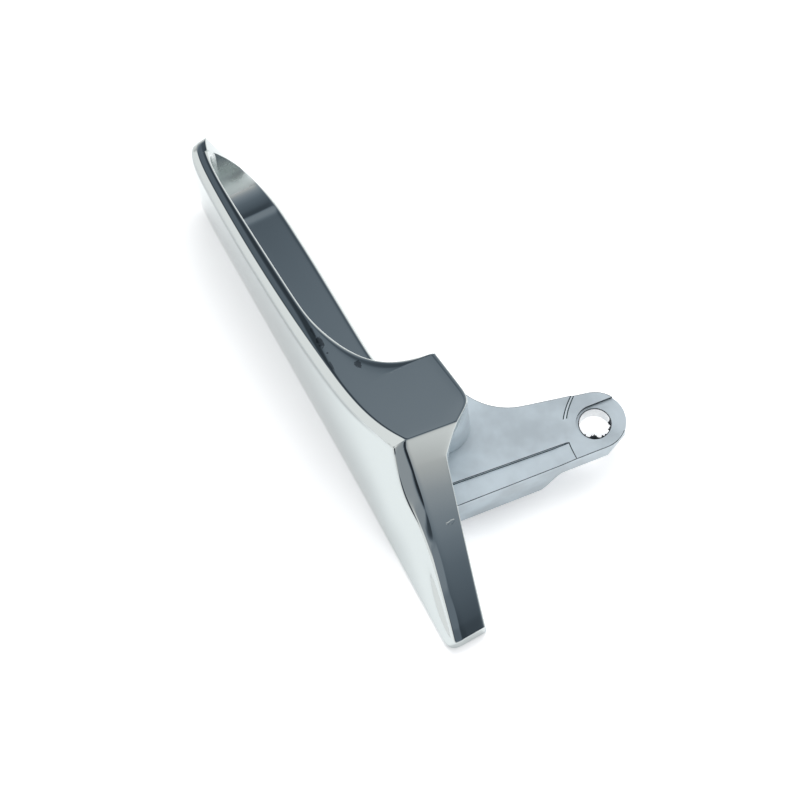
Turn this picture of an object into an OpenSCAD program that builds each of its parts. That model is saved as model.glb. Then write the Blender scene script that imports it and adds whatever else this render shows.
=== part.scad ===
// Interior door release lever: one die casting with a finger scoop, a solid root block,
// a falling tail and a flat pivot arm. It lies on its far side, as it rests on a table.
// Stations run along the lever from its tip. Each section is a ring of points that
// functions work out, with one axis across the lever and one along its height.

/* [Lever] */
// Length from the tip to the end of the tail, mm
lever_length = 123.1; // [118:0.1:130]
// Height of the lever across its front, mm
lever_height = 26; // [23:0.5:30]
// Where the block's top face ends and the tail starts to fall, from the tip
tail_start = 84.4; // [83:0.1:86]
// Height of the tail at its end
tail_end_height = 3.9; // [3:0.1:6]
// How steeply the tail starts to fall, as rise over run
tail_fall = 1.0; // [0.8:0.05:1.15]
// How far the edge between the top face and the tail leans along the lever
edge_skew = 0.1; // [0:0.01:0.2]
// Where that lean starts, from the tip
skew_start = 62; // [60:1:64]

/* [Front face] */
// How far the front bows forward near the tip, beside its lower edge
front_forward = 2.3; // [1:0.1:3]
// How far the near edge rolls back from the front at the corner
corner_roll = 7.1; // [4:0.1:9]
// Where that roll starts, from the tip
roll_start = 48; // [40:1:60]
// Crown of the front between its two long edges
front_crown = 0.55; // [0:0.05:1.2]
// Width of the soft band along the near edge
band_width = 1.75; // [1:0.05:3]
// Slope of that band, as drop over width
band_slope = 0.62; // [0.3:0.02:1]
// Radius of the long lower edge
lower_edge_r = 0.6; // [0.3:0.05:1]

/* [Tip and tail ends] */
// Radius of the tip seen from the near side
tip_nose_r = 2.4; // [1.5:0.1:4]
// Radius of the tip's far corner seen from the front
tip_corner_r = 10.5; // [8:0.5:12]
// Radius of the corner at the end of the tail
tail_nose_r = 2.8; // [2:0.1:3.5]
// Depth of the tail behind the front line, beside the block
tail_back_depth = 16.5; // [15.5:0.1:17.5]
// Depth of the tail behind the front line, at its end
tail_end_depth = 8.9; // [7.5:0.1:10]

/* [Scoop] */
// Depth of the near rim behind the front line, at its narrowest
rim_depth = 1.0; // [0.8:0.1:2]
// Thickness of the far flange
flange_t = 1.6; // [1.2:0.1:2.5]
// Depth of the far flange behind the front line, about its middle
flange_depth = 15.7; // [14:0.1:18]
// Thickness of the wall that closes the tip
tip_wall_t = 3.3; // [2.5:0.1:4]
// Radius inside the scoop at the tip
tip_inner_r = 9.5; // [7:0.5:11]
// Reach of the round inner corner between the near wall and the tip
scoop_corner = 1.8; // [0.5:0.1:2.2]
// Draft of the scoop's wall over its height
scoop_draft = 0.6; // [0.3:0.1:1.2]

/* [Block] */
// Where the scoop ends and the block starts, from the tip
block_start = 69; // [67:0.5:71]
// Depth of the block behind the front line, beside the scoop
block_depth = 24.4; // [22:0.1:27]
// How much deeper the block is beside the tail
block_spread = 1.6; // [0:0.1:3]
// Draft of the block's back over its height
block_draft = 1.1; // [0.5:0.1:2]
// Where the block's end wall stands, from the tip
block_end = 86.6; // [86:0.1:88]
// Length of the round corner between the block's back and its end wall
block_corner = 7.1; // [5:0.1:8]
// Where the slanted edge beside the falling top reaches the tail's back, from the tip
slant_end = 90.2; // [89.5:0.1:91]
// How far down the web under that slanted edge reaches
web_height = 15; // [12:0.5:17]
// Radius of the small round along the rims
rim_round = 0.4; // [0.2:0.05:0.6]

/* [Pivot arm] */
// Distance of the pivot bore behind the tip
pivot_from_tip = 94.3; // [92:0.1:97]
// Distance of the pivot bore behind the front line
pivot_from_front = 50.6; // [48:0.1:54]
// Diameter of the pivot bore
bore_d = 7; // [6:0.1:8]
// Radius of the arm's round end
arm_end_r = 6.75; // [6.4:0.05:8]
// How far the middle of that round lies from the bore, towards the tip
end_offset = 0.4; // [0:0.05:0.8]
// How far the middle of that round lies from the bore, away from the front
end_reach = 0.3; // [0:0.05:0.8]
// Distance of the flat on the round end's tail side from the bore, at its lower edge
end_flat = 5.8; // [5.4:0.1:6.2]
// How far that flat leans outwards going up, degrees
end_flat_lean = 8; // [4:1:12]
// Height of the arm's upper face above the table
arm_top = 12.1; // [11:0.1:13.5]
// Height of the arm's underside at its root
arm_underside = 1.4; // [1:0.1:3]
// Height of the underside at the pivot end
end_underside = 6.8; // [5.5:0.1:7.5]
// Where the underside has stepped up, behind the front line
step_end = 40.2; // [38:0.1:42]
// Length of that rounded step
step_length = 5.6; // [4:0.1:7]
// Radius of the hollow between the block and the arm's tip side
arm_hollow_r = 14.7; // [14:0.1:16]
// Middle of that hollow, from the tip
hollow_from_tip = 69.5; // [69:0.1:70.5]
// Middle of that hollow, behind the front line
hollow_depth = 42; // [41.5:0.1:43]
// Where the arm's tail side meets the tail's back, from the tip
root_from_tip = 97.9; // [97:0.1:99]
// Where the arm's tail side meets the tail's back, behind the front line
root_depth = 15.6; // [15:0.1:16]
// Width of the lowered strip along the arm's tail side, at its root
strip_width = 5; // [4:0.1:6]
// Width of that strip where it meets the pad
strip_end_width = 4.15; // [3:0.05:5]
// Depth of that strip
strip_drop = 0.7; // [0.5:0.05:1]
// Length over which the strip rises to the pad at its end
strip_rise = 3.5; // [2:0.1:6]
// Depth of the pad round the bore below the arm's upper face
pad_drop = 0.35; // [0.2:0.05:0.45]
// Where the pad's edge starts on the tail side, from the tip
pad_from_tip = 101; // [100:0.1:102]
// Where the pad's edge starts on the tail side, behind the front line
pad_depth = 42.4; // [41.5:0.1:43]
// Width of the slope along that edge
pad_slope = 0.8; // [0.5:0.1:1.2]
// Width of the channel that runs from the bore to the end
channel_width = 8.3; // [7.8:0.1:9.5]
// Depth of that channel
channel_depth = 0.7; // [0.4:0.05:1]

/* [Hidden] */
$fn = 64;
metal = [0.72, 0.76, 0.79];
tail_run = lever_length - tail_start;
// the fall flattens out so that the tail ends at its own height
tail_flatten = (tail_end_height - lever_height + tail_fall * tail_run) / pow(tail_run, 2);
bore_top = arm_top - pad_drop - channel_depth;
bore_middle = (bore_top + end_underside) / 2;

// ---- small helpers
function clamp(x, a, b) = min(max(x, a), b);
function ease(x) = let (t = clamp(x, 0, 1)) t * t * (3 - 2 * t);
function larger(a, b, soft) = (a + b + sqrt((a - b) * (a - b) + soft * soft)) / 2;
function smaller(a, b, soft) = -larger(-a, -b, soft);
function arc_rise(x, r) = r - sqrt(max(r * r - pow(clamp(r - x, 0, r), 2), 0));

// ---- heights along the lever
function past(s) = max(s - tail_start, 0);
function top_w(s) = lever_height - tail_fall * past(s) + tail_flatten * pow(past(s), 2);
function bottom_w(s) = arc_rise(s, tip_corner_r);
function floor_w(s) = flange_t + arc_rise(s - tip_wall_t, tip_inner_r);

// ---- depths along the lever, behind the front line
function low_v(s) = -0.8 + 0.8 * ease(s / 85);
function roll_v(s) = corner_roll * pow(clamp((s - roll_start) / (tail_start - roll_start), 0, 1), 2.35);
function edge_v(s) = s < tail_start
    ? -0.5 + 0.025 * (s - 14) + 0.00022 * pow(s - 14, 2) + 3.05 * exp(-s / 5) + roll_v(s)
    : edge_v(tail_start - 0.001) - 0.03 * past(s) - 0.0029 * pow(past(s), 2);
function band_v(s) = band_width + 1.2 * exp(-s / 8) + 2.3 * exp(-pow((s - 90) / 6.5, 2))
    + 0.5 * ease((s - 92) / 10);
// the rounded corners at the two ends of the front
function nose_v(s) = s < lever_length - tail_nose_r
    ? -front_forward - 0.3 + arc_rise(s, tip_nose_r)
    : low_v(s) + arc_rise(lever_length - s, tail_nose_r);
// the near rim runs straight, then swings back along the block's side
function rim_v(s) = let (straight = rim_depth + 0.055 * (s - 8) + 2.9 * exp(-s / 4.5),
        swing = 4.92 + 5.4 * ln(15.8 / max(block_start - s, 0.02)))
    smaller(larger(straight, swing, 0.7), back_v(s, top_w(s)) - 0.02, 0.05);
// the rim drops from the shallow near side to the deep far flange in one long curve
function rim_sweep(s, w) = flange_depth - 4.35 - 0.33 * (w - flange_t)
    + 4.1 * (1 - exp(-s / 8)) + 0.024 * max(s - 20, 0);
function flange_v(s, w) = let (swell = larger(0, 3.1 + 4 * ln(6 / max(block_start + 0.5 - s, 0.02)), 1))
    smaller(rim_sweep(s, w) + swell - 0.1, block_depth + 1.1, 0.3);
function tail_v(x) = let (d = x - slant_end, run = lever_length - slant_end, bow = 0.0009)
    tail_back_depth - (tail_back_depth - tail_end_depth - bow * run * run) / run * d - bow * d * d;
function skew(s) = s < tail_start
    ? edge_skew * ease((s - skew_start) / (tail_start - skew_start))
    : edge_skew - (edge_skew + 0.07) * past(s) / tail_run;
// the block's back spreads a little towards its round corner
function side_v(x) = block_depth
    + block_spread * clamp((x - block_start) / (block_end - block_corner - block_start), 0, 1);
// along the top the corner opens into a slanted edge that runs down to the tail's back
function upper_back_v(x) = let (slant = tail_back_depth + 1.02 * (slant_end - x)
        + 0.022 * pow(max(slant_end - 2.2 - x, 0), 2))
    larger(smaller(side_v(x), slant, 1.2), tail_v(x), 0.25);
// lower down it is a quarter round with an end wall that stands off the tail's back
function lower_back_v(x) = let (foot = tail_back_depth + 2,
        t = clamp((x - block_end) / block_corner + 1, 0, 1))
    max(x < block_end ? foot + (side_v(x) - foot) * sqrt(1 - t * t) : 0, tail_v(x));
function back_v(s, w) = let (x = s + skew(s) * 11, share = clamp((top_w(s) - w) / web_height, 0, 1))
    upper_back_v(x) + (lower_back_v(x) - upper_back_v(x)) * share;

// ---- one section: the front, the near face, then either the scoop or a solid back
function front_points(s) = let (
        top = top_w(s),
        low = bottom_w(s),
        high = (top - low) / lever_height,
        r = lower_edge_r,
        band = band_v(s),
        drop = band * band_slope * clamp(high * 1.6, 0.45, 1),
        edge = edge_v(s),
        from = low_v(s),
        to = edge - band)
    [
        [from + r, low],
        [from + r * 0.3, low + r * 0.3],
        for (t = [0, 0.16, 0.34, 0.52, 0.68, 0.82, 0.92])
            [from + (to - from) * pow(t, 1 + 1.2 * ease((s - 25) / 30)) - front_crown * high * sin(180 * t),
             low + r + (top - drop - r * 0.5 - low - r) * t],
        [to - 0.05, top - drop - 0.2 * high],
        [to + 0.16 * band, top - drop * 0.78],
        [to + 0.45 * band, top - drop * 0.48],
        [to + 0.75 * band, top - drop * 0.2],
        [edge - 0.12, top - 0.06],
        [edge + 0.1, top]
    ];
function nosed(points, s) = [for (p = points) [max(p[0], nose_v(s)), p[1]]];
function corner_v(s) = scoop_corner * exp((tip_wall_t - s) / 0.9);
function wall_v(s, w) = rim_v(s) + corner_v(s) + scoop_draft * (lever_height - w) / lever_height;
function scoop_points(s) = let (
        top = top_w(s),
        low = bottom_w(s),
        bed = floor_w(s),
        r = rim_round,
        mouth = min((top - bed) * 0.4, 1.2),
        deep = flange_v(s, bed),
        under = flange_v(s, low))
    [
        [rim_v(s) - r, top],
        [rim_v(s) - r * 0.3 + corner_v(s) * 0.3, top - r * 0.3 - corner_v(s) * 0.3],
        [rim_v(s) + corner_v(s), top - r - corner_v(s) * 1.2],
        [wall_v(s, (top + bed) / 2), (top + bed) / 2],
        [wall_v(s, bed), bed + mouth],
        [wall_v(s, bed) + mouth * 0.3, bed + mouth * 0.3],
        [wall_v(s, bed) + mouth, bed],
        [(wall_v(s, bed) + mouth + deep - r) / 2, bed],
        [deep - r, bed],
        [deep - r * 0.3, bed - r * 0.3],
        [deep, bed - r],
        [under, low + r],
        [under - r * 0.3, low + r * 0.3],
        [under - r, low]
    ];
function solid_points(sides, top, low) = let (r = rim_round, last = len(sides) - 1)
    [
        [sides[0][0] - r, top],
        [sides[0][0] - r * 0.3, top - r * 0.3],
        for (p = sides) p,
        [sides[last][0] - r * 0.3, low + r * 0.3],
        [sides[last][0] - r, low]
    ];
function side_w(s, f) = let (high = top_w(s) - rim_round) high + (bottom_w(s) + rim_round - high) * f;
tip_fractions = [0, 0.2, 0.4, 0.55, 0.66, 0.75, 0.83, 0.89, 0.95, 1];
function tip_sides(s) = [for (f = tip_fractions) let (w = side_w(s, f))
    [flange_v(s, w) + (rim_v(s) - flange_v(s, lever_height)) * pow(w / lever_height, 3), w]];
back_fractions = [0, 0.12, 0.25, 0.38, 0.5, 0.6, 0.7, 0.8, 0.9, 1];
function back_sides(s) = [for (f = back_fractions) let (w = side_w(s, f))
    [back_v(s, w) + block_draft * f * top_w(s) / lever_height, w]];
function back_points(s) = s < tip_wall_t
    ? solid_points(tip_sides(s), top_w(s), bottom_w(s))
    : s < block_start - 0.2
        ? scoop_points(s)
        : solid_points(back_sides(s), top_w(s), bottom_w(s));
function ring(s) = concat(nosed(front_points(s), s), back_points(s));
function placed(s) = let (points = ring(s), edge = edge_v(s))
    [for (p = points) [s + skew(s) * (p[0] - edge) - pivot_from_tip,
        p[0] - pivot_from_front, p[1] - bore_middle]];

function middle_of(values) = (min(values) + max(values)) / 2;
function centre(points) = [for (k = [0:2]) middle_of([for (p = points) p[k]])];

// ---- stations: close together where the shape turns
function rim_station(v) = block_start - 15.8 * exp(-(v - 4.92) / 5.4);
stations = [
    for (t = [0:0.125:0.9]) tip_corner_r * 0.32 * (1 - cos(90 * t)) + 0.02 * t,
    tip_wall_t - 0.08,
    for (t = [0:0.1:1]) tip_wall_t + 0.02 + (tip_inner_r + 1) * (1 - cos(90 * t)),
    for (t = [1:1:9]) tip_wall_t + tip_inner_r + 1.02 + t * 4.2,
    for (v = [5.2:1.55:24.2]) rim_station(v),
    block_start - 0.15,
    for (t = [1:1:5]) block_start + t * (tail_start - 6.4 - block_start) / 5,
    for (t = [0.2:0.2:1]) tail_start - 5.9 + 5.9 * sin(90 * t),
    for (t = [0.25, 0.46, 0.56, 1, 1.8, 2.8, 3.7, 4.15, 4.35, 4.8, 6.4, 8.6, 11.2, 14.2, 17.6, 21.4,
            25.6, 30])
        tail_start + t,
    for (t = [0:0.2:0.95]) lever_length - tail_nose_r * (1 - sin(90 * t)) - 0.5 * (1 - t),
    lever_length
];

module ring_body() {
    count = len(ring(40));
    last = len(stations) - 1;
    points = [for (s = stations) each placed(s)];
    sides = [for (k = [0:last - 1], i = [0:count - 1]) let (j = (i + 1) % count)
        each [
            [k * count + i, k * count + j, (k + 1) * count + j],
            [k * count + i, (k + 1) * count + j, (k + 1) * count + i]
        ]];
    // each end is closed by a fan about a point inside it
    middles = [centre(placed(stations[0])), centre(placed(stations[last]))];
    ends = [for (i = [0:count - 1]) let (j = (i + 1) % count, far = last * count)
        each [[len(points), j, i], [len(points) + 1, far + i, far + j]]];
    polyhedron(points = concat(points, middles), faces = concat(sides, ends), convexity = 10);
}

// ---- the arm, drawn in the pivot's own frame
function to_x(s) = s - pivot_from_tip;
function to_y(v) = v - pivot_from_front;
hollow = [to_x(hollow_from_tip), to_y(hollow_depth)];
root = [to_x(root_from_tip), to_y(root_depth)];
round_end = [-end_offset, end_reach];
// straight sides touch the round end, and on the tip side the hollow too
hollow_way = round_end - hollow;
hollow_turn = atan2(hollow_way[1], hollow_way[0]) - acos((arm_hollow_r + arm_end_r) / norm(hollow_way));
hollow_side = [cos(hollow_turn), sin(hollow_turn)];
root_way = root - round_end;
root_turn = atan2(root_way[1], root_way[0]) + acos(arm_end_r / norm(root_way));
tail_touch = round_end + arm_end_r * [cos(root_turn), sin(root_turn)];
flank = (tail_touch - root) / norm(tail_touch - root);
flank_turn = atan2(flank[1], flank[0]);

module arm_outline() {
    difference() {
        union() {
            translate(round_end) circle(r = arm_end_r);
            polygon([[hollow[0], to_y(20)], [to_x(root_from_tip - 0.9), to_y(11)], root, tail_touch,
                round_end, round_end - arm_end_r * hollow_side, hollow + arm_hollow_r * hollow_side,
                hollow + [2, -10], hollow + [2, 0.4 - arm_hollow_r], [hollow[0], to_y(25.8)]]);
        }
        translate(hollow) circle(r = arm_hollow_r);
    }
}

// the side view of what is taken away under the pivot end
module under_step() {
    start = step_end - step_length;
    ramp = [for (t = [0:0.1:1]) [to_y(start + step_length * t),
        arm_underside + (end_underside - arm_underside) * ease(t) - bore_middle]];
    floor = arm_underside - bore_middle - 2;
    translate([-20, 0, 0]) rotate([90, 0, 90]) linear_extrude(height = 40)
        polygon(concat([[to_y(start) - 0.5, floor], [to_y(start) - 0.5, arm_underside - bore_middle - 0.01]],
            ramp, [[arm_end_r + 5, end_underside - bore_middle], [arm_end_r + 5, floor]]));
}

// the pad's edge curves across the arm and away from the tail side
module pad_area(inset) {
    edge = [for (t = [0:1:17]) [to_x(pad_from_tip) - t, to_y(pad_depth) + inset + 0.0021 * pow(t, 3)]];
    polygon(concat(edge, [[to_x(pad_from_tip) - 17, 12], [12, 12], [12, to_y(pad_depth) + inset]]));
}

// the pad is lowered by a shallow slope along its edge
module pad() {
    hull() {
        translate([0, 0, arm_top - pad_drop - bore_middle]) linear_extrude(height = 0.01) pad_area(pad_slope);
        translate([0, 0, arm_top - bore_middle]) linear_extrude(height = 3) pad_area(0);
    }
}

// a band beside the tail side, whose floor rises to the pad at its end
module strip() {
    across = [-flank[1], flank[0]];
    reach = (to_y(pad_depth) - root[1]) / flank[1];
    taper = (strip_end_width - strip_width) / reach;
    function border(along, side) = root + flank * along + across * side;
    low = arm_top - strip_drop - bore_middle;
    slope = (strip_drop - pad_drop) / strip_rise;
    rise_start = to_y(pad_depth + 0.5 * pad_slope - strip_rise);
    intersection() {
        translate([0, 0, low - 1]) linear_extrude(height = 5)
            polygon([border(-12, strip_width - 12 * taper), border(reach + 8, strip_end_width + 8 * taper),
                border(reach + 8, -4), border(-12, -4)]);
        translate([-20, 0, 0]) rotate([90, 0, 90]) linear_extrude(height = 40)
            polygon([[to_y(5), low], [rise_start, low], [rise_start + 6, low + 6 * slope],
                [rise_start + 6, low + 3], [to_y(5), low + 3]]);
    }
}

// a leaning flat beside the round end
module end_cut() {
    rotate(24) rotate([90, 0, 0]) translate([0, end_underside - bore_middle, -12]) linear_extrude(height = 24)
        polygon([[end_flat, 0], [end_flat + 8 * tan(end_flat_lean), 8], [12, 8], [12, 0]]);
}

module channel() {
    rotate(flank_turn) {
        cylinder(d = channel_width, h = 5);
        translate([0, -channel_width / 2, 0]) cube([20, channel_width, 5]);
    }
}

module arm() {
    difference() {
        translate([0, 0, arm_underside - bore_middle])
            linear_extrude(height = arm_top - arm_underside) arm_outline();
        under_step();
        strip();
        pad();
        end_cut();
        translate([0, 0, bore_top - bore_middle]) channel();
        translate([0, 0, -20]) cylinder(d = bore_d, h = 40);
    }
}

module lever() {
    color(metal) union() {
        ring_body();
        arm();
    }
}

lever();
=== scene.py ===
import bpy
import bmesh
import math
import numpy as np
from mathutils import Matrix, Vector


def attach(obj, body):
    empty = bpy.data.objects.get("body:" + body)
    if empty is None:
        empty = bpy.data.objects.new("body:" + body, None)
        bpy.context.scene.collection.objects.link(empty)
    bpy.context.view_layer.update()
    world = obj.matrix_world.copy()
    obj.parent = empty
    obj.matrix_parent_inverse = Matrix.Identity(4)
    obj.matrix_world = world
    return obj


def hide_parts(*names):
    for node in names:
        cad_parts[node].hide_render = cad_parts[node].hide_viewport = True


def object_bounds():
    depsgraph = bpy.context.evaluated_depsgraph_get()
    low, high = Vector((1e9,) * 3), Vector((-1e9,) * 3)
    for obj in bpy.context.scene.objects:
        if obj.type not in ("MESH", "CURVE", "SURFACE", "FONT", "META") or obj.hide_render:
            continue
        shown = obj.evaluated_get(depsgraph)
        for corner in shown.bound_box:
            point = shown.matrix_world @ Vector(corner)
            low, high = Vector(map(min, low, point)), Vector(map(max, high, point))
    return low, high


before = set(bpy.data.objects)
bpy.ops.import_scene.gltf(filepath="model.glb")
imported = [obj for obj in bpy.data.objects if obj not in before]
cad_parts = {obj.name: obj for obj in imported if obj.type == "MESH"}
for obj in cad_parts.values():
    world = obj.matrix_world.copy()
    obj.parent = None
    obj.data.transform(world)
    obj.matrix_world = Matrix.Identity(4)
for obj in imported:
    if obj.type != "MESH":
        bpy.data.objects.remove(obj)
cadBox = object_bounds()
mm = 0.001
bpy.context.scene.view_settings.view_transform = "Standard"
print("frame loaded")

# camera: 1 m from the lever, at the photograph's angle
cameraSetup = {
    "azimuth": 62.8,        # degrees round the lever
    "elevation": 67.0,      # degrees above the table
    "distance": 1000.0,     # mm
    "target": (-23.6, -35.5, 4.075),
    "lens": 207.0,
}


def makeCamera(setup):
    turn, rise = math.radians(setup["azimuth"]), math.radians(setup["elevation"])
    back = Vector((math.sin(turn) * math.cos(rise), -math.cos(turn) * math.cos(rise), math.sin(rise)))
    right = Vector((math.cos(turn), math.sin(turn), 0))
    up = back.cross(right)
    data = bpy.data.cameras.new("camera")
    data.lens = setup["lens"]
    data.sensor_width = 36
    data.clip_start = 0.05
    data.clip_end = 20
    camera = bpy.data.objects.new("camera", data)
    bpy.context.scene.collection.objects.link(camera)
    place = Vector(setup["target"]) * mm + back * setup["distance"] * mm
    camera.matrix_world = Matrix.Translation(place) @ Matrix((right, up, back)).transposed().to_4x4()
    bpy.context.scene.camera = camera


makeCamera(cameraSetup)
print("camera placed")


# small curves that the shapes share
def ease(x):
    # smooth step from 0 to 1
    t = np.clip(x, 0, 1)
    return t * t * (3 - 2 * t)


def larger(a, b, soft):
    # the larger of two curves, rounded where they cross
    return (a + b + np.sqrt((a - b) ** 2 + soft ** 2)) / 2


def smaller(a, b, soft):
    return -larger(-a, -b, soft)


def arcRise(x, r):
    # how far a round corner of radius r stands off at distance x from its start
    return r - np.sqrt(np.maximum(r * r - np.clip(r - x, 0, r) ** 2, 0))


def splineWeights(order, samples):
    # weights of a uniform cubic spline: four control points act on each span
    last = max(order)
    rows = []
    for k, count in enumerate(samples):
        t = np.linspace(0, 1, count, endpoint=False)
        if k == len(samples) - 1 and order[0] != order[-3]:
            t = np.append(t, 1.0)
        part = np.stack([(1 - t) ** 3, 3 * t ** 3 - 6 * t ** 2 + 4,
                         -3 * t ** 3 + 3 * t ** 2 + 3 * t + 1, t ** 3], axis=1) / 6
        block = np.zeros((len(t), last + 1))
        for j in range(4):
            block[:, order[k + j]] += part[:, j]
        rows.append(block)
    return np.concatenate(rows)


def turnOutward(piece, weld=0.0):
    # faces turned to point outward, after points closer than `weld` are made one
    mesh = bmesh.new()
    mesh.from_mesh(piece.data)
    if weld:
        bmesh.ops.remove_doubles(mesh, verts=mesh.verts, dist=weld)
    bmesh.ops.recalc_face_normals(mesh, faces=mesh.faces)
    mesh.to_mesh(piece.data)
    mesh.free()


def faceData(piece):
    # the middle in mm and the normal of every face, as arrays (faces, 3)
    centre, normal = np.zeros((2, len(piece.data.polygons) * 3))
    piece.data.polygons.foreach_get("center", centre)
    piece.data.polygons.foreach_get("normal", normal)
    return centre.reshape(-1, 3) / mm, normal.reshape(-1, 3)


def meshObject(name, points, faces, smooth=True):
    mesh = bpy.data.meshes.new(name)
    mesh.from_pydata([tuple(p) for p in (np.asarray(points) * mm).tolist()], [], faces)
    mesh.update()
    if smooth:
        mesh.shade_smooth()
    piece = bpy.data.objects.new(name, mesh)
    bpy.context.scene.collection.objects.link(piece)
    return piece


# the grip, scoop, block and tail
grip = {
    "length": 123.085, "height": 26.0, "tailStart": 84.4, "tailEndHeight": 3.9, "tailFall": 1.0,
    "edgeSkew": 0.1, "skewStart": 62.0, "frontForward": 2.3, "cornerRoll": 3.95, "rollStart": 60.0,
    "rollPower": 3.5, "crown": 0.55, "band": 1.45, "bandSlope": 0.62, "lowerEdgeR": 0.6,
    "tipNoseR": 2.4, "tipCornerR": 10.5, "tailNoseR": 2.8, "tailBackDepth": 16.5, "tailEndDepth": 8.9,
    "rimDepth": 1.05, "flangeT": 1.6, "flangeDepth": 15.7, "tipWall": 3.3, "tipInnerR": 9.5,
    "scoopCorner": 1.8, "scoopDraft": 0.6, "blockStart": 69.0, "blockDepth": 24.4, "blockSpread": 1.6,
    "blockDraft": 1.1, "blockEnd": 86.6, "blockCorner": 7.1, "slantEnd": 90.2, "webHeight": 15.0,
    "scoopRimR": 0.5, "rimSwell": 0.3, "backRimR": 0.35, "faceSlope": 0.364, "foldSoft": 0.12,
    # next: the width in mm of the painted reflection line between front and band
    "tipRoundR": 1.0, "paintedFrontLine": 0.16,
    "pivotFromTip": 94.3, "pivotFromFront": 50.6, "boreMiddle": 8.925,
}
g = grip
tailRun = g["length"] - g["tailStart"]
tailFlatten = (g["tailEndHeight"] - g["height"] + g["tailFall"] * tailRun) / tailRun ** 2


def past(s):
    return larger(s - g["tailStart"], 0, g["foldSoft"])


def topW(s):
    return g["height"] - g["tailFall"] * past(s) + tailFlatten * past(s) ** 2


def bottomW(s):
    return arcRise(s, g["tipCornerR"])


def floorW(s):
    return g["flangeT"] + arcRise(s - g["tipWall"], g["tipInnerR"])


def lowV(s):
    return -0.8 + 0.8 * ease(s / 85)


def edgeNear(s):
    # a slow bow, drawn back at the tip, with a roll that grows steeply towards the corner
    bow = -0.572 + 0.00574 * (s - 14) + 0.00117 * (s - 14) ** 2 + 2.08 * np.exp(-s / 2.5)
    roll = np.clip((s - g["rollStart"]) / (g["tailStart"] - g["rollStart"]), 0, 1) ** g["rollPower"]
    return bow + g["cornerRoll"] * roll


def edgeV(s):
    # the near edge of the front, then of the tail
    over = np.maximum(s - g["tailStart"], 0)
    tail = edgeNear(np.array([g["tailStart"] - 0.001])) - 0.03 * over - 0.0029 * over ** 2
    return np.where(s < g["tailStart"], edgeNear(np.minimum(s, g["tailStart"])), tail)


def bandV(s):
    # width of the band in front of the near edge: it swells round the corner and is wider on the tail
    return (g["band"] + 0.45 * ease((s - 32) / 36) + 2.1 * np.exp(-((s - 89.5) / 7.5) ** 2)
            + 0.85 * ease((s - 88) / 8))


def noseV(s):
    tip = -g["frontForward"] - 0.3 + arcRise(s, g["tipNoseR"])
    tail = lowV(s) + arcRise(g["length"] - s, g["tailNoseR"])
    return np.where(s < g["length"] - g["tailNoseR"], tip, tail)


def tailV(x):
    d = x - g["slantEnd"]
    run = g["length"] - g["slantEnd"]
    fall = (g["tailBackDepth"] - g["tailEndDepth"] - 0.0009 * run ** 2) / run
    return g["tailBackDepth"] - fall * d - 0.0009 * d * d


def skew(s):
    # how far a section leans along the lever
    before = g["edgeSkew"] * ease((s - g["skewStart"]) / (g["tailStart"] - g["skewStart"]))
    after = g["edgeSkew"] - (g["edgeSkew"] + 0.07) * np.maximum(s - g["tailStart"], 0) / tailRun
    return np.where(s < g["tailStart"], before, after)


def sideV(x):
    # the block's back spreads a little towards its round corner
    straight = g["blockEnd"] - g["blockCorner"] - g["blockStart"]
    return g["blockDepth"] + g["blockSpread"] * np.clip((x - g["blockStart"]) / straight, 0, 1)


def upperBackV(x):
    # along the top the corner opens into a slanted edge that runs down to the tail's back
    slant = (g["tailBackDepth"] + 1.02 * (g["slantEnd"] - x)
             + 0.022 * np.maximum(g["slantEnd"] - 2.2 - x, 0) ** 2)
    return larger(smaller(sideV(x), slant, 1.2), tailV(x), 0.25)


def lowerBackV(x):
    # lower down it is a quarter round with an end wall that stands off the tail's back
    foot = g["tailBackDepth"] + 2
    t = np.clip((x - g["blockEnd"]) / g["blockCorner"] + 1, 0, 1)
    corner = foot + (sideV(x) - foot) * np.sqrt(1 - t * t)
    return np.maximum(np.where(x < g["blockEnd"], corner, 0), tailV(x))


def backV(s, w):
    # the two outlines are blended down a web under the slanted edge
    x = s + skew(s) * 11
    share = np.clip((topW(s) - w) / g["webHeight"], 0, 1)
    return upperBackV(x) + (lowerBackV(x) - upperBackV(x)) * share


def rimV(s):
    # the near rim runs straight, then swings back in a logarithmic curve along the block
    straight = g["rimDepth"] + 0.062 * (s - 8) + 2.9 * np.exp(-s / 4.5)
    swing = 4.92 + 5.4 * np.log(15.8 / np.maximum(g["blockStart"] - s, 0.02))
    swell = g["rimSwell"] * ease((s - 45) / 15)
    return smaller(larger(straight, swing, 0.7) + swell, backV(s, topW(s)) - 0.02, 0.05)


def flangeV(s, w):
    sweep = (g["flangeDepth"] - 4.35 - 0.33 * (w - g["flangeT"])
             + 4.1 * (1 - np.exp(-s / 8)) + 0.024 * np.maximum(s - 20, 0))
    swell = larger(0, 3.1 + 4 * np.log(6 / np.maximum(g["blockStart"] + 0.5 - s, 0.02)), 1)
    return smaller(sweep + swell - 0.1, g["blockDepth"] + 1.1, 0.3)


def cornerV(s):
    # the round inner corner between the near wall and the tip
    return g["scoopCorner"] * np.exp((g["tipWall"] - s) / 0.9)


def wallV(s, w):
    return rimV(s) + cornerV(s) + g["scoopDraft"] * (g["height"] - w) / g["height"]


def onTail(s):
    return ease((s - g["tailStart"] + 1.0) / 2.4)


def slimness(s):
    return np.clip((topW(s) - bottomW(s)) / g["height"] * 1.6, 0.45, 1)


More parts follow.
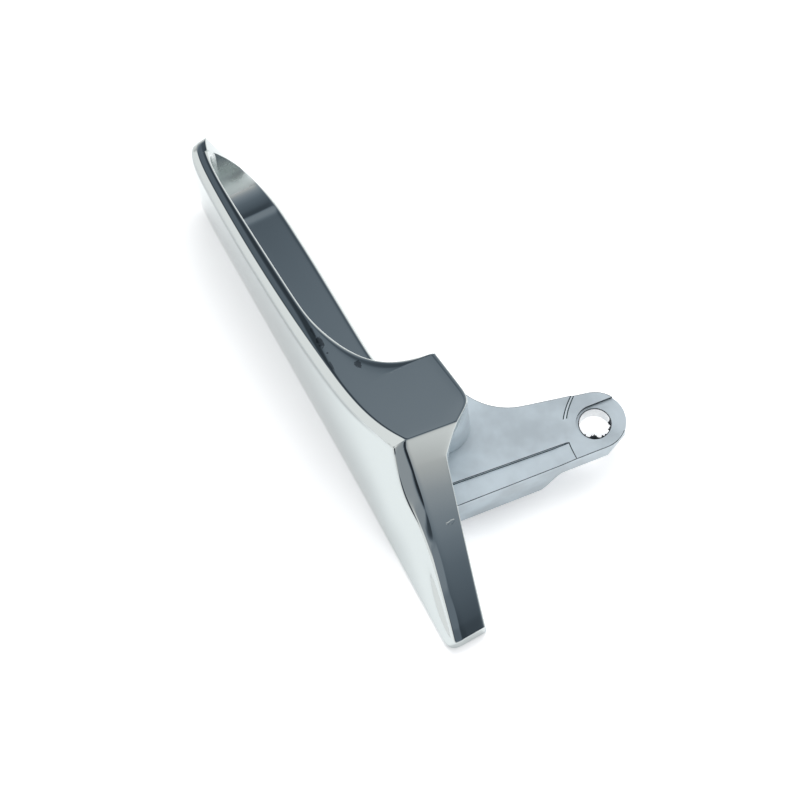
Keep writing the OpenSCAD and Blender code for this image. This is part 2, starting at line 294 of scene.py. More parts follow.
def faceDrop(s, d):
    # the top face is crowned: a parabola that slopes at the near edge and is level at `reach` behind it;
    # beside the scoop it falls again towards the rim, on the block and tail it stays level
    wide, tail = ease((s - 45) / 22), onTail(s)
    reach = (2.67 - 2.3 * wide) * (1 - tail) + 0.5 * tail
    slope = g["faceSlope"] * (1 - 0.5 * wide) * (1 - tail) + 0.1 * tail
    over = np.maximum(d - reach, 0) * (1 - ease((s - 45) / 13))
    return slope / (2 * reach) * (np.maximum(reach - d, 0) ** 2 + over ** 2) * slimness(s)


def bandDrop(s, x):
    # the band in front of the near edge: its slope grows over a short way, then stays
    tail = onTail(s)
    steep = g["bandSlope"] * slimness(s)
    first = (g["faceSlope"] * (1 - tail) + 0.1 * tail) * slimness(s)
    soft = 0.15 * (1 - tail) + 1.25 * tail
    near = np.minimum(x, soft)
    return first * near + (steep - first) * near ** 2 / (2 * soft) + steep * np.maximum(x - soft, 0)


def frontColumns(s):
    # lower round, bowed front, soft band and near edge of each section
    top, low, edge, r = topW(s), bottomW(s), edgeV(s), g["lowerEdgeR"]
    high = (top - low) / g["height"]
    band, tail = bandV(s), onTail(s)
    crest = top - faceDrop(s, 0 * s)
    drop = bandDrop(s, band)
    start, end = lowV(s), edge - band
    lean = 1 + 1.2 * ease((s - 25) / 30) - 1.0 * ease((s - 90) / 9)
    columns = [(start + r, low), (start + r * 0.3, low + r * 0.3)]
    for t in (0, 0.16, 0.34, 0.52, 0.68, 0.82, 0.92):
        columns.append((start + (end - start) * t ** lean - g["crown"] * high * math.sin(math.pi * t),
                        low + r + (crest - drop - r * 1.5 - low) * t))
    columns.append((end - 0.05, crest - drop - 0.2 * high))
    for x, onTailX in ((0.84 * band, 0.84 * band), (0.55 * band, 0.6 * band), (0.25 * band, 1.0),
                       (0.1, 0.45)):
        x = x * (1 - tail) + onTailX * tail
        columns.append((edge - x, crest - bandDrop(s, x)))
    columns.append((edge + 0.12, top - faceDrop(s, 0 * s + 0.12)))
    nose = noseV(s)
    return [(np.maximum(v, nose), w + 0 * s) for v, w in columns]


def faceColumns(s, last):
    # the crowned face, from the near edge to where the back's first column stands
    first = edgeV(s) + 0.12
    columns = []
    for share, limit in ((0.12, 0.35), (0.28, 0.8), (0.46, 1.4), (0.64, 2.1), (0.82, 2.9)):
        d = np.minimum(share * (last - first), limit)
        columns.append((first + d, topW(s) - faceDrop(s, d + 0.12)))
    return columns


def scoopColumns(s):
    # near rim, wall, fillet, bed and far flange
    top, low, bed = topW(s), bottomW(s), floorW(s)
    r = g["scoopRimR"] + g["rimSwell"] * ease((s - 45) / 15)
    mouth = np.minimum((top - bed) * 0.4, 1.2)
    deep, under, rim, c = flangeV(s, bed), flangeV(s, low), rimV(s), cornerV(s)
    foot = wallV(s, bed)
    fall = faceDrop(s, np.maximum(rim - r - edgeV(s), 0))
    far = g["backRimR"]
    return faceColumns(s, rim - r) + [
        (rim - r, top - fall), (rim - r * 0.3 + c * 0.3, top - fall - r * 0.3 - c * 0.3),
        (rim + c, top - r - 1.2 * c), (wallV(s, (top + bed) / 2), (top + bed) / 2), (foot, bed + mouth),
        (foot + mouth * 0.3, bed + mouth * 0.3), (foot + mouth, bed),
        ((foot + mouth + deep - far) / 2, bed),
        (deep - far, bed), (deep - far * 0.3, bed - far * 0.3), (deep, bed - far),
        (under, low + far), (under - far * 0.3, low + far * 0.3), (under - far, low)]


def solidColumns(s):
    # the solid back: slanted beside the tip, drafted along the block and tail
    top, low, r = topW(s), bottomW(s), g["backRimR"]
    tip = s < g["tipWall"]
    upper = top - r
    sides = []
    for a, b in zip((0, 0.2, 0.4, 0.55, 0.66, 0.75, 0.83, 0.89, 0.95, 1),
                    (0, 0.12, 0.25, 0.38, 0.5, 0.6, 0.7, 0.8, 0.9, 1)):
        wTip, wBack = upper + (low + r - upper) * a, upper + (low + r - upper) * b
        vTip = flangeV(s, wTip) + (rimV(s) - flangeV(s, g["height"])) * (wTip / g["height"]) ** 3
        vBack = backV(s, wBack) + g["blockDraft"] * b * top / g["height"]
        sides.append((np.where(tip, vTip, vBack), np.where(tip, wTip, wBack)))
    first, last = sides[0][0], sides[-1][0]
    return (faceColumns(s, first - r) + [(first - r, top), (first - r * 0.3, top - r * 0.3)] + sides
            + [(last - r * 0.3, low + r * 0.3), (last - r, low)])


def sections(s):
    # every section as a ring of 34 control points, as an array (stations, 34, 3) in mm
    scoop = (s >= g["tipWall"]) & (s < g["blockStart"] - 0.2)
    back = [tuple(np.where(scoop, p, q) for p, q in zip(a, b))
            for a, b in zip(scoopColumns(s), solidColumns(s))]
    ring = np.stack([np.stack(c, axis=1) for c in frontColumns(s) + back], axis=1)
    lean = skew(s)[:, None] * (ring[:, :, 0] - edgeV(s)[:, None])
    # the end at the tip is rounded over: the first sections are drawn in
    r = g["tipRoundR"]
    middle = (ring.min(axis=1) + ring.max(axis=1))[:, None, :] / 2
    way = middle - ring
    way /= np.linalg.norm(way, axis=2, keepdims=True)
    ring = ring + way * arcRise(s, r)[:, None, None]
    return np.stack([s[:, None] + lean - g["pivotFromTip"], ring[:, :, 0] - g["pivotFromFront"],
                     ring[:, :, 1] - g["boreMiddle"]], axis=2)


def stationList():
    quarter = math.pi / 2
    rim = g["blockStart"] - 15.8 * np.exp(-(np.arange(5.2, 24.3, 0.95) - 4.92) / 5.4)
    return np.concatenate([
        [0, 0.03, 0.1, 0.2, 0.35, 0.55, 0.8, 1.1, 1.5, 1.9, 2.4, 2.8, 3.1],
        [g["tipWall"] - 0.004],
        g["tipWall"] + 0.004 + (g["tipInnerR"] + 1) * (1 - np.cos(quarter * np.linspace(0, 1, 18))),
        g["tipWall"] + g["tipInnerR"] + 1.02 + np.arange(1, 19) * 2.1,
        rim, [g["blockStart"] - 0.204, g["blockStart"] - 0.196],
        g["blockStart"] + np.arange(1, 9) * (g["tailStart"] - 6.4 - g["blockStart"]) / 8,
        g["tailStart"] - 6.4 + 6.4 * np.sin(quarter * np.linspace(0.1, 0.9, 8)),
        g["tailStart"] + np.array([
            -0.2, -0.1, 0, 0.1, 0.2, 0.35, 0.6, 1.04, 1.16, 1.5, 2.1, 2.8, 3.6, 4.4, 4.8, 5, 5.6, 6.8,
            8.6, 10.8, 13.2, 15.8, 18.6, 21.4, 24.4, 27.4, 30.4, 33]),
        g["length"] - g["tailNoseR"] * (1 - np.sin(quarter * np.linspace(0, 0.95, 8)))
        - 0.5 * (1 - np.linspace(0, 1, 8)),
        [g["length"]],
    ])


def capRows(row, shares):
    # rows that draw an end section in to the point in its middle
    middle = (row.min(axis=0) + row.max(axis=0)) / 2
    return np.stack([middle + (row - middle) * k for k in shares])


def castingSurface():
    # a cubic spline surface over the net of sections: weights along x net x weights round
    s = np.unique(stationList())
    net = sections(s)
    rows = [capRows(net[0], (0, 0.5, 0.88, 0.97))]
    # the scoop's two end walls stand between neighbouring sections: more rows keep their edges sharp
    walls = [int(np.searchsorted(s, place)) - 1 for place in (g["tipWall"], g["blockStart"] - 0.2)]
    for i in range(len(s)):
        rows.append(net[i:i + 1])
        if i in walls:
            rows += [net[i:i + 1] * (1 - k) + net[i + 1:i + 2] * k
                     for k in (0.015, 0.05, 0.35, 0.65, 0.95, 0.985)]
    rows.append(capRows(net[-1], (0.97, 0.88, 0.5, 0)))
    net = np.concatenate(rows)
    count = len(net)
    along = splineWeights([0, 0] + list(range(count)) + [count - 1, count - 1], [3] * (count + 1))
    perSpan = [3, 3, 5, 6, 6, 6, 6, 5, 5, 4, 4, 4, 4, 4, 3, 3, 3,
               3, 3, 3, 3, 3, 6, 5, 4, 4, 5, 5, 3, 3, 4, 3, 3, 6]
    ring = len(perSpan)
    around = splineWeights([(k - 1) % ring for k in range(ring + 3)], perSpan)
    return np.einsum("ai,bj,ijk->abk", along, around, net)


def gridFaces(n, m):
    a = (np.arange(n - 1)[:, None] * m + np.arange(m)[None, :])
    b = (np.arange(n - 1)[:, None] * m + (np.arange(m)[None, :] + 1) % m)
    return np.stack([a, b, b + m, a + m], axis=2).reshape(-1, 4).tolist()


surface = castingSurface()
casting = meshObject("lever_casting", surface.reshape(-1, 3), gridFaces(*surface.shape[:2]))
turnOutward(casting, weld=1e-7)


def paintFrontLineReflection(piece):
    # the weight of a painted reflection: 1 on the line between the front and the band, fading to both
    # sides of it
    points = np.zeros(len(piece.data.vertices) * 3)
    piece.data.vertices.foreach_get("co", points)
    s, v, w = (points.reshape(-1, 3) / mm + [g["pivotFromTip"], g["pivotFromFront"], g["boreMiddle"]]).T
    away = (v - (edgeV(s) - bandV(s))) / g["paintedFrontLine"]
    near = np.exp(-away ** 2) * (w > topW(s) - 3) * (1 - ease((s - 72) / 10)) * ease(s / 2)
    mark = piece.data.attributes.new("paintedFrontLine", "FLOAT", "POINT")
    mark.data.foreach_set("value", near.astype(np.float32))


paintFrontLineReflection(casting)
print("casting", len(casting.data.polygons), "faces")

# the pivot arm: an outline in the pivot's frame, with steps cut from its top and underside;
# its edges are bevelled, the bevels painted with dark shade, before the channel and the bore are cut
arm = {
    "endR": 6.748, "endOffset": 0.4, "endReach": 0.3, "endFlat": 5.8, "endLean": 8.0, "endTurn": 24.0,
    "top": 12.1, "under": 1.4, "endUnder": 6.8, "stepEnd": 40.2, "stepLength": 5.6,
    "hollowR": 14.7, "hollowFromTip": 69.5, "hollowDepth": 42.0, "rootFromTip": 97.9, "rootDepth": 15.6,
    "strip": 5.0, "stripEnd": 4.15, "stripDrop": 0.7, "stripRise": 3.5,
    "padDrop": 0.35, "padFromTip": 101.0, "padDepth": 42.4, "padSlope": 0.8,
    "channel": 8.3, "channelDepth": 0.7, "boreD": 7.0, "edgeR": 0.13, "sharpAngle": 28.0,
}


def toX(s):
    return s - g["pivotFromTip"]


def toY(v):
    return v - g["pivotFromFront"]


def toZ(w):
    return w - g["boreMiddle"]


def arc(centre, r, start, end, count):
    a = np.radians(np.linspace(start, end, count))
    return np.stack([centre[0] + r * np.cos(a), centre[1] + r * np.sin(a)], axis=1)


def layered(name, layers, axes=(0, 1, 2), turn=0.0):
    # outlines of equal count stacked at their heights, joined side to side and closed at both ends
    n = len(layers[0][0])
    rings = []
    for outline, height in layers:
        ring = np.zeros((n, 3))
        ring[:, axes[0]], ring[:, axes[1]], ring[:, axes[2]] = outline[:, 0], outline[:, 1], height
        rings.append(ring)
    points = np.concatenate(rings)
    a = math.radians(turn)
    spin = np.array([[math.cos(a), math.sin(a), 0], [-math.sin(a), math.cos(a), 0], [0, 0, 1]])
    last = n * (len(layers) - 1)
    faces = [list(range(n))[::-1], list(range(last, last + n))]
    i = np.arange(n)
    for k in range(len(layers) - 1):
        faces += (np.stack([i, (i + 1) % n, (i + 1) % n + n, i + n], axis=1) + k * n).tolist()
    piece = meshObject(name, points @ spin, faces, smooth=False)
    turnOutward(piece)
    return piece


def prism(name, outline, low, high, axes=(0, 1, 2), turn=0.0):
    # an outline carried straight from one height to the other
    return layered(name, [(outline, low), (outline, high)], axes, turn)


hollow = np.array([toX(arm["hollowFromTip"]), toY(arm["hollowDepth"])])
root = np.array([toX(arm["rootFromTip"]), toY(arm["rootDepth"])])
roundEnd = np.array([-arm["endOffset"], arm["endReach"]])
hollowWay, rootWay = roundEnd - hollow, root - roundEnd
hollowTurn = (math.atan2(hollowWay[1], hollowWay[0])
              - math.acos((arm["hollowR"] + arm["endR"]) / np.linalg.norm(hollowWay)))
rootTurn = math.atan2(rootWay[1], rootWay[0]) + math.acos(arm["endR"] / np.linalg.norm(rootWay))
tailTouch = roundEnd + arm["endR"] * np.array([math.cos(rootTurn), math.sin(rootTurn)])
flank = (tailTouch - root) / np.linalg.norm(tailTouch - root)
across = np.array([-flank[1], flank[0]])


def armOutline():
    end = arc(roundEnd, arm["endR"], math.degrees(rootTurn), math.degrees(hollowTurn) + 180, 72)
    inner = arc(hollow, arm["hollowR"], math.degrees(hollowTurn), -86, 48)
    foot = [[hollow[0], toY(25.8)], [hollow[0], toY(20)], [toX(arm["rootFromTip"] - 0.9), toY(11)]]
    return np.concatenate([[root], end, inner, foot])


def underStep():
    start = arm["stepEnd"] - arm["stepLength"]
    t = np.linspace(0, 1, 25)
    ramp = np.stack([toY(start + arm["stepLength"] * t),
                     toZ(arm["under"] + (arm["endUnder"] - arm["under"]) * ease(t))], axis=1)
    low = toZ(arm["under"]) - 2
    return np.concatenate([[[toY(start) - 0.5, low], [toY(start) - 0.5, toZ(arm["under"]) - 0.01]], ramp,
                           [[arm["endR"] + 5, toZ(arm["endUnder"])], [arm["endR"] + 5, low]]])


def stripCutter():
    # a band beside the tail side, its floor rising to the pad at the end
    reach = (toY(arm["padDepth"]) - root[1]) / flank[1]
    taper = (arm["stripEnd"] - arm["strip"]) / reach
    along = np.array([-12.0, reach + 8])[:, None]
    inner = root + flank * along + across * (arm["strip"] + taper * along)
    outer = root + flank * along - across * 4
    low = toZ(arm["top"] - arm["stripDrop"])
    band = prism("cut_band", np.concatenate([inner, outer[::-1]]), low - 1, 9)
    rise = toY(arm["padDepth"] + 0.5 * arm["padSlope"] - arm["stripRise"])
    climb = 6 * (arm["stripDrop"] - arm["padDrop"]) / arm["stripRise"]
    side = np.array([[toY(5), low], [rise, low], [rise + 6, low + climb], [rise + 6, low + 3],
                     [toY(5), low + 3]])
    cutFrom(band, [prism("cut_side", side, -20, 20, axes=(1, 2, 0))], "INTERSECT")
    return band


def padOutline(inset):
    t = np.linspace(0, 17, 52)
    edge = np.stack([toX(arm["padFromTip"]) - t, toY(arm["padDepth"]) + inset + 0.0021 * t ** 3], axis=1)
    far = [[toX(arm["padFromTip"]) - 17, 12], [12, 12], [12, toY(arm["padDepth"]) + inset]]
    return np.concatenate([edge, far])


def channelOutline():
    r = arm["channel"] / 2
    a = np.linspace(math.pi / 2, 3 * math.pi / 2, 49)
    local = np.concatenate([np.stack([r * np.cos(a), r * np.sin(a)], axis=1), [[20, -r], [20, r]]])
    return local[:, :1] * flank + local[:, 1:] * across


def cutFrom(piece, cutters, operation="DIFFERENCE"):
    for cutter in cutters:
        change = piece.modifiers.new("cut", "BOOLEAN")
        change.operation = operation
        change.solver = "EXACT"
        change.object = cutter
    bpy.context.view_layer.update()
    done = bpy.data.meshes.new_from_object(piece.evaluated_get(bpy.context.evaluated_depsgraph_get()))
    piece.modifiers.clear()
    piece.data = done
    for cutter in cutters:
        bpy.data.objects.remove(cutter)


def endCutOutline():
    lean = 8 * math.tan(math.radians(arm["endLean"]))
    low = toZ(arm["endUnder"])
    return np.array([[arm["endFlat"], low], [arm["endFlat"] + lean, low + 8], [12, low + 8], [12, low]])


pivotArm = prism("pivot_arm", armOutline(), toZ(arm["under"]), toZ(arm["top"]))
for slotNumber in range(3):
    pivotArm.data.materials.append(None)
padLow = toZ(arm["top"] - arm["padDrop"])
cutFrom(pivotArm, [
    prism("cut_step", underStep(), -20, 40, axes=(1, 2, 0)),
    stripCutter(),
    layered("cut_pad", [(padOutline(arm["padSlope"]), padLow), (padOutline(0), toZ(arm["top"])),
                        (padOutline(0), 9)]),
    prism("cut_end", endCutOutline(), -12, 12, axes=(0, 2, 1), turn=arm["endTurn"]),
])
edges = pivotArm.modifiers.new("edges", "BEVEL")
edges.width = arm["edgeR"] * mm
edges.segments = 3
edges.limit_method = "ANGLE"
edges.angle_limit = math.radians(arm["sharpAngle"])
# the bevel faces take material slot 1, a painted shade: dark lines along the arm's edges
edges.material = 1
edges.use_clamp_overlap = False
cutFrom(pivotArm, [])
cutFrom(pivotArm, [
    prism("cut_channel", channelOutline(), padLow - arm["channelDepth"], 9),
    prism("cut_bore", arc((0, 0), arm["boreD"] / 2, 0, 356.25, 96), -20, 20),
])
pivotArm.data.shade_smooth()
pivotArm.data.set_sharp_from_angle(angle=math.radians(arm["sharpAngle"]))
steady = pivotArm.modifiers.new("steady", "WEIGHTED_NORMAL")
steady.weight = 80
steady.keep_sharp = True
print("arm", len(pivotArm.data.polygons), "faces")


# torn flash round the bore's mouth
flash = {
    "fromRadius": 3.66, "reach": 0.75, "thick": 0.12, "height": 10.95, "lip": 0.12,
    "start": -75.0, "end": 75.0,                            # degrees round the bore
    "waves": ((0.45, 9, 0.6), (0.35, 17, 2.1), (0.3, 31, 0.0)),   # size, waves a turn, start
    "flakes": ((-30.0, 13.0, 1.0), (68.0, 9.0, 0.8)),       # place, width, size
}


def tornFlash(setup):
    # a thin collar: a closed profile carried round the mouth, its inner lip ragged by three waves
    turn = np.linspace(0, 2 * np.pi, 241)[:-1]
    waves = sum(size * np.sin(count * turn + start) for size, count, start in setup["waves"])
    side = np.degrees((turn + np.pi) % (2 * np.pi) - np.pi)
    there = ease((side - setup["start"]) / 15) * ease((setup["end"] - side) / 15)
    flakes = sum(size * np.exp(-((side - place) / width) ** 2) for place, width, size in setup["flakes"])
    lip = setup["lip"] + there * np.clip(waves, 0, 1) * setup["reach"] * 0.8 + flakes * setup["reach"]
    outer = np.full_like(turn, setup["fromRadius"])
    inner = outer - 0.1 - lip
    profile = [(outer, 0), (outer, setup["thick"]), (inner + 0.1, setup["thick"]), (inner, 0.05),
               (inner + 0.12, 0)]
    low = toZ(setup["height"])
    return np.stack([np.stack([r * np.cos(turn), r * np.sin(turn), np.full_like(turn, low + h)], axis=1)
                     for r, h in profile])


def ringFaces(around, count):
    # faces of a closed profile carried round a closed path
    k = np.arange(around * count).reshape(around, count)
    ahead, up = np.roll(k, -1, axis=1), np.roll(k, -1, axis=0)
    both = np.roll(up, -1, axis=1)
    return np.stack([k, ahead, both, up], axis=2).reshape(-1, 4).tolist()


rows = tornFlash(flash)
boreFlash = meshObject("bore_flash", rows.reshape(-1, 3), ringFaces(*rows.shape[:2]))
turnOutward(boreFlash)
print("flash", len(boreFlash.data.polygons), "faces")

# materials
finish = {
    "plate": (0.66, 0.705, 0.70), "plateRoughness": 0.045,
    "satin": (0.60, 0.67, 0.71), "satinMetal": 0.45, "satinRoughness": 0.42, "satinTones": (0.94, 1.16),
    # next: a dark painted shade for the arm's bevels and channel walls, a near-white painted light for the
    # bore's wall
    "paintedEdgeShade": (0.06, 0.085, 0.10), "bore": (0.93, 0.94, 0.95), "torn": (0.09, 0.10, 0.11),
    # dark smears on the near face: middle, half sizes in mm, depth of the dark
    "smears": (
        ((-38.7, -47.2, 17.07), (1.6, 0.75, 1.0), 0.75), ((-41.6, -47.5, 17.07), (1.5, 0.35, 1.0), 0.5),
        ((-32.6, -47.4, 17.07), (1.3, 0.25, 1.0), 0.55), ((-30.3, -42.2, 17.07), (1.1, 0.8, 1.0), 0.7),
        ((-35.6, -46.9, 17.07), (0.3, 0.25, 1.0), 0.6)),
    "nick": ((6.6, -38.7, 3.6), (0.42, 1.0, 1.2)), "nickDepth": 0.08,
    "ragged": 2.2,              # how far noise pushes a smear's outline, in half sizes
    # next: how dark the painted reflection line between front and band is
    "paintedLineDepth": 0.5,           # how dark the line between front and band is
    "satinFromS": 74.0, "satinFromV": 9.0, "satinBelowTop": 0.9,    # where the grip's back is satin
    "scoopEndRoughness": 0.28, "edgeRoughness": 0.4, "boreRoughness": 0.2, "tornRoughness": 0.3,
}


class Nodes:
    # adds nodes to a material or world and links them by name
    def __init__(self, owner):
        owner.use_nodes = True
        self.tree = owner.node_tree
        self.tree.nodes.clear()

    def add(self, kind, settings=(), **values):
        node = self.tree.nodes.new(kind)
        for key, value in dict(settings).items():
            setattr(node, key, value)
        for key, value in values.items():
            self.set(node, key.replace("_", " "), value)
        return node

    def set(self, node, key, value):
        socket = node.inputs[int(key[1:])] if key[0] == "i" and key[1:].isdigit() else node.inputs[key]
        if isinstance(value, bpy.types.NodeSocket):
            self.tree.links.new(value, socket)
        else:
            socket.default_value = value

    def maths(self, operation, a, b=0.0, c=0.0):
        node = self.add("ShaderNodeMath", {"operation": operation})
        for k, value in enumerate((a, b, c)):
            if operation not in ("SQRT", "ABSOLUTE") or k == 0:
                self.set(node, f"i{k}", value)
        return node.outputs[0]

    def vectors(self, operation, output, **values):
        return self.add("ShaderNodeVectorMath", {"operation": operation}, **values).outputs[output]

    def rangeOf(self, value, low, high, toLow=0.0, toHigh=1.0):
        node = self.add("ShaderNodeMapRange", {"interpolation_type": "SMOOTHSTEP"})
        for key, v in (("Value", value), ("From Min", low), ("From Max", high), ("To Min", toLow),
                       ("To Max", toHigh)):
            self.set(node, key, v)
        return node.outputs[0]

    def mixColour(self, factor, a, b):
        node = self.add("ShaderNodeMix", {"data_type": "RGBA"})
        self.set(node, "i0", factor)
        self.set(node, "i6", a)
        self.set(node, "i7", b)
        return node.outputs[2]


def colour(c):
    return (c[0], c[1], c[2], 1.0)


def makePlate():
    # mirror chrome with a faint haze, dark smears on the near face, a nick in the tail's top and
    # a painted reflection: a dark line between front and band
    material = bpy.data.materials.new("mirror_chrome")
    n = Nodes(material)
    place = n.add("ShaderNodeTexCoord").outputs["Object"]
    haze = n.add("ShaderNodeTexNoise", Vector=place, Scale=90.0, Detail=4.0).outputs[0]
    ragged = n.add("ShaderNodeTexNoise", Vector=place, Scale=1700.0, Detail=5.0).outputs["Color"]
    rough = n.rangeOf(haze, 0.3, 0.7, finish["plateRoughness"] * 0.7, finish["plateRoughness"] * 1.5)

    def spot(middle, size):
        # 1 inside a ragged blob round a point of the piece, 0 outside it
        away = n.vectors("SUBTRACT", "Vector", i0=place, i1=[c * mm for c in middle])
        away = n.vectors("DIVIDE", "Vector", i0=away, i1=[c * mm for c in size])
        push = finish["ragged"]
        torn = n.vectors("MULTIPLY_ADD", "Vector", i0=ragged, i1=(push, push, 0), i2=away)
        torn = n.vectors("SUBTRACT", "Vector", i0=torn, i1=(push / 2, push / 2, 0))
        return n.rangeOf(n.vectors("LENGTH", "Value", i0=torn), 1.0, 0.6)

    # how far the tone goes dark: the smears are dirt, the line between front and band is a painted
    # reflection
    dark = 0.0
    for middle, size, depth in finish["smears"]:
        dark = n.maths("MAXIMUM", n.maths("MULTIPLY", spot(middle, size), depth), dark)
    # the painted reflection: a dark line along the edge between front and band, added to the dark of the
    # smears
    line = n.add("ShaderNodeAttribute", {"attribute_name": "paintedFrontLine"}).outputs["Fac"]
    dark = n.maths("MAXIMUM", n.maths("MULTIPLY", line, finish["paintedLineDepth"]), dark)
    tone = n.mixColour(dark, colour(finish["plate"]), colour(finish["torn"]))
    height = n.maths("SUBTRACT", 1.0, spot(*finish["nick"]))
    nick = n.add("ShaderNodeBump", Strength=0.5, Distance=finish["nickDepth"] * mm, Height=height)
    shader = n.add("ShaderNodeBsdfPrincipled", Base_Color=tone, Metallic=1.0, Roughness=rough,
                   Normal=nick.outputs[0])
    n.add("ShaderNodeOutputMaterial", Surface=shader.outputs[0])
    return material


def makeSatin():
    # plated but unpolished metal: soft reflections over a fine cast grain
    material = bpy.data.materials.new("satin_chrome")
    n = Nodes(material)
    place = n.add("ShaderNodeTexCoord").outputs["Object"]
    cloud = n.add("ShaderNodeTexNoise", Vector=place, Scale=140.0, Detail=3.0).outputs[0]
    grain = n.add("ShaderNodeTexNoise", Vector=place, Scale=2600.0, Detail=2.0).outputs[0]
    rough = n.rangeOf(cloud, 0.3, 0.7, finish["satinRoughness"] * 0.8, finish["satinRoughness"] * 1.2)
    bump = n.add("ShaderNodeBump", Strength=0.12, Distance=0.00005, Height=grain)
    dull, bright = [colour([c * k for c in finish["satin"]]) for k in finish["satinTones"]]
    tone = n.mixColour(n.rangeOf(cloud, 0.3, 0.7), dull, bright)
    shader = n.add("ShaderNodeBsdfPrincipled", Base_Color=tone, Metallic=finish["satinMetal"],
                   Roughness=rough, Normal=bump.outputs[0])
    n.add("ShaderNodeOutputMaterial", Surface=shader.outputs[0])
    return material


def makeTone(name, shade, roughness, scale):
    # metal of one tone with small uneven patches in tone and gloss
    material = bpy.data.materials.new(name)
    n = Nodes(material)
    place = n.add("ShaderNodeTexCoord").outputs["Object"]
    noise = n.add("ShaderNodeTexNoise", Vector=place, Scale=scale, Detail=3.0).outputs[0]
    patchy = n.rangeOf(noise, 0.35, 0.65)
    low, high = [c * 0.85 for c in shade], [min(c * 1.1, 0.97) for c in shade]
    tone = n.mixColour(patchy, colour(low), colour(high))
    rough = n.maths("MULTIPLY_ADD", patchy, roughness * 0.4, roughness * 0.8)
    shader = n.add("ShaderNodeBsdfPrincipled", Base_Color=tone, Metallic=1.0, Roughness=rough)
    n.add("ShaderNodeOutputMaterial", Surface=shader.outputs[0])
    return material


plate, satin = makePlate(), makeSatin()
for material in (plate, satin, makeTone("scoop_end", finish["plate"], finish["scoopEndRoughness"], 150.0)):
    casting.data.materials.append(material)
# the arm's finishes: satin, a painted shade for bevels and channel walls, a painted light for the bore's
# wall
armFinishes = (satin, makeTone("arm_edge_painted_shade", finish["paintedEdgeShade"], finish["edgeRoughness"], 300.0),
               makeTone("bore_wall", finish["bore"], finish["boreRoughness"], 200.0))
for slotNumber, material in enumerate(armFinishes):
    pivotArm.data.materials[slotNumber] = material


def boreFaces(piece):
    # the faces that stand on the bore's radius get a painted light, a near-white wall; the channel's walls
    # get a painted shade, dark
    centre, normal = faceData(piece)
    height = centre[:, 2]
    upright = np.abs(normal[:, 2]) < 0.5
    inside = upright & (np.hypot(centre[:, 0], centre[:, 1]) < arm["boreD"] / 2 + 0.05)
    beside = np.abs(centre @ np.append(across, 0)) < arm["channel"] / 2 + 0.05
    along = centre @ np.append(flank, 0) < 5.5
    wall = upright & beside & along & (height > padLow - arm["channelDepth"] + 0.01) & (height < padLow)
    index = np.zeros(len(centre), np.int32)
    piece.data.polygons.foreach_get("material_index", index)
    # index 1 paints shade on the channel's walls, index 2 paints light on the bore's wall
    index[wall] = 1
    index[inside] = 2
    piece.data.polygons.foreach_set("material_index", index)


boreFaces(pivotArm)


def castingFaces(piece):
    # satin at the back between the block's round corner and the tail, a soft gloss on the scoop's end
    centre, normal = faceData(piece)
    s, v, w = (centre + [g["pivotFromTip"], g["pivotFromFront"], g["boreMiddle"]]).T
    behind = ((s > finish["satinFromS"]) & (v > finish["satinFromV"]) & (normal[:, 2] < 0.3)
              & (w < topW(s) - finish["satinBelowTop"]))
    scoopEnd = ((s > g["tipWall"] - 0.1) & (s < 9) & (v > rimV(s) - 0.2) & (normal[:, 0] > 0.7)
                & (w > floorW(s) - 0.5))
    index = np.where(behind, 1, np.where(scoopEnd, 2, 0))
    piece.data.polygons.foreach_set("material_index", index.astype(np.int32))


castingFaces(casting)
boreFlash.data.materials.append(makeTone("torn_edge", finish["torn"], finish["tornRoughness"], 700.0))
for piece in (casting, pivotArm, boreFlash):
    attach(piece, "root")
    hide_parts("lever")
print("materials set")

# table, light tent and lamps
studio = {
    "floor": (0.86, 0.86, 0.86), "floorLift": 0.42, "floorInMetal": 0.3,
    # brightness of the tent by how far a direction leans to the tail's side, then to the arm's side
    "alongTail": (
        (-1.0, 1.0), (-0.85, 0.7), (-0.6, 0.12), (-0.4, 0.05), (0.0, 0.06), (0.19, 0.11), (0.36, 0.14),
        (0.52, 0.17), (0.64, 0.22), (0.75, 0.29), (0.83, 0.38), (0.89, 0.55), (0.94, 0.8), (1.0, 1.0)),
    "alongArm": (
        (-1.0, 1.0), (-0.62, 1.0), (-0.57, 0.07), (-0.49, 0.05), (-0.43, 0.15), (-0.25, 0.16),
        (-0.15, 0.035), (0.0, 0.03), (0.12, 0.06), (0.3, 0.1), (0.5, 0.3), (0.75, 0.9), (1.0, 1.0)),
    "strength": 1.0, "walls": 0.9,
    # direction, inner and outer angle, brightness
    "patches": (((-0.25, 0.2, 0.947), 3, 11, 0.27), ((0.75, -0.62, 0.2), 12, 25, 0.38),
                ((0.52, -0.64, 0.56), 8, 13, 0.34), ((0.38, -0.42, 0.82), 8, 13, 0.27),
                ((0.12, -0.33, 0.94), 6, 11, 0.2), ((0.8, -0.5, 0.33), 4, 8, 0.03),
                ((0.7, -0.56, 0.44), 4, 8, 0.03), ((0.57, -0.55, 0.61), 3, 7, 0.06),
                ((0.43, -0.87, 0.2), 4, 9, 0.04)),
}


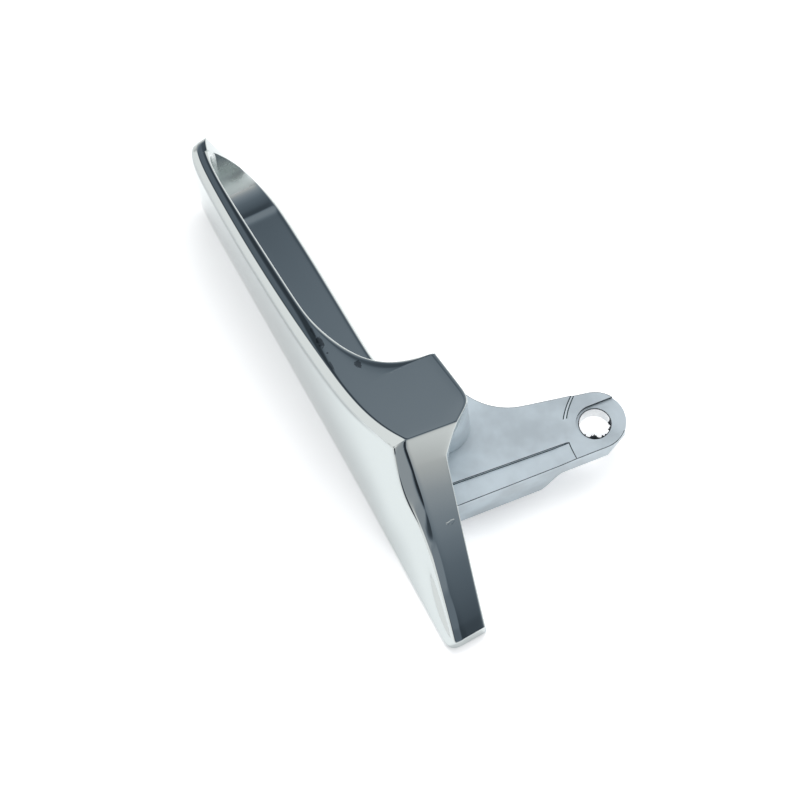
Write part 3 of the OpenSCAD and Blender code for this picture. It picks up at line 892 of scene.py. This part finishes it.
def makeFloor():
    floor = meshObject("table", [(-3000, -3000, 0), (3000, -3000, 0), (3000, 3000, 0), (-3000, 3000, 0)],
                       [[0, 1, 2, 3]], smooth=False)
    floor.data.transform(Matrix.Translation((0, 0, cadBox[0][2] - 0.00002)))
    material = bpy.data.materials.new("table_top")
    n = Nodes(material)
    paths = n.add("ShaderNodeLightPath")
    lift = n.maths("ADD", n.maths("MULTIPLY", paths.outputs["Is Camera Ray"], studio["floorLift"]),
                   n.maths("MULTIPLY", paths.outputs["Is Glossy Ray"], studio["floorInMetal"]))
    matte = n.add("ShaderNodeBsdfDiffuse", Color=colour(studio["floor"]))
    glow = n.add("ShaderNodeEmission", Color=(1, 1, 1, 1), Strength=lift)
    both = n.add("ShaderNodeAddShader", i0=matte.outputs[0], i1=glow.outputs[0])
    n.add("ShaderNodeOutputMaterial", Surface=both.outputs[0])
    floor.data.materials.append(material)


def makeWorld():
    # a light tent: pale walls, a dark opening overhead, and patches that the mirror finish shows
    world = bpy.data.worlds.new("tent")
    bpy.context.scene.world = world
    n = Nodes(world)
    way = n.add("ShaderNodeTexCoord").outputs["Generated"]

    def nearness(direction, inner, outer):
        # 1 within the inner angle of a direction, 0 beyond the outer one
        d = Vector(direction).normalized()
        dot = n.vectors("DOT_PRODUCT", "Value", i0=way, i1=tuple(d))
        return n.rangeOf(dot, math.cos(math.radians(outer)), math.cos(math.radians(inner)))

    def ramp(value, stops):
        node = n.add("ShaderNodeValToRGB", Fac=n.maths("MULTIPLY_ADD", value, 0.5, 0.5))
        elements = node.color_ramp.elements
        elements[0].position, elements[1].position = [stops[k][0] * 0.5 + 0.5 for k in (0, -1)]
        for place, level in stops[1:-1]:
            elements.new(place * 0.5 + 0.5)
        for stop, (place, level) in zip(elements, stops):
            stop.color = (level, level, level, 1)
        return node.outputs[0]

    parts = n.add("ShaderNodeSeparateXYZ", Vector=way).outputs
    level = n.maths("MAXIMUM", ramp(parts["X"], studio["alongTail"]), ramp(parts["Y"], studio["alongArm"]))
    walls = n.rangeOf(parts["Z"], 0.5, 0.2)
    level = n.maths("MAXIMUM", level, n.maths("MULTIPLY", walls, studio["walls"]))

    def patch(level, direction, inner, outer, value):
        near = nearness(direction, inner, outer)
        away = n.maths("SUBTRACT", 1.0, near)
        return n.maths("ADD", n.maths("MULTIPLY", level, away), n.maths("MULTIPLY", near, value))

    for spot in studio["patches"]:
        level = patch(level, *spot)
    tone = n.mixColour(n.rangeOf(level, 0.0, 0.6), (0.77, 0.98, 1.22, 1), (1, 1, 1, 1))
    strength = n.maths("MULTIPLY", level, studio["strength"])
    light = n.add("ShaderNodeBackground", Color=tone, Strength=strength)
    white = n.add("ShaderNodeBackground", Color=(1, 1, 1, 1), Strength=1.0)
    seen = n.add("ShaderNodeLightPath").outputs["Is Camera Ray"]
    both = n.add("ShaderNodeMixShader", i0=seen, i1=light.outputs[0], i2=white.outputs[0])
    n.add("ShaderNodeOutputWorld", Surface=both.outputs[0])


makeFloor()
makeWorld()


def softLamp(name, place, size, power, aim=(0, 0, 0)):
    data = bpy.data.lights.new(name, "AREA")
    data.shape = "RECTANGLE"
    data.size, data.size_y = size
    data.energy = power
    lamp = bpy.data.objects.new(name, data)
    bpy.context.scene.collection.objects.link(lamp)
    lamp.location = place
    lamp.rotation_mode = "QUATERNION"
    lamp.rotation_quaternion = (Vector(aim) - Vector(place)).to_track_quat("-Z", "Y")
    lamp.visible_glossy = False


softLamp("lamp_over", (-0.5, 0.4, 1.2), (1.1, 1.1), 16.0, (-0.02, -0.03, 0))
print("studio made")
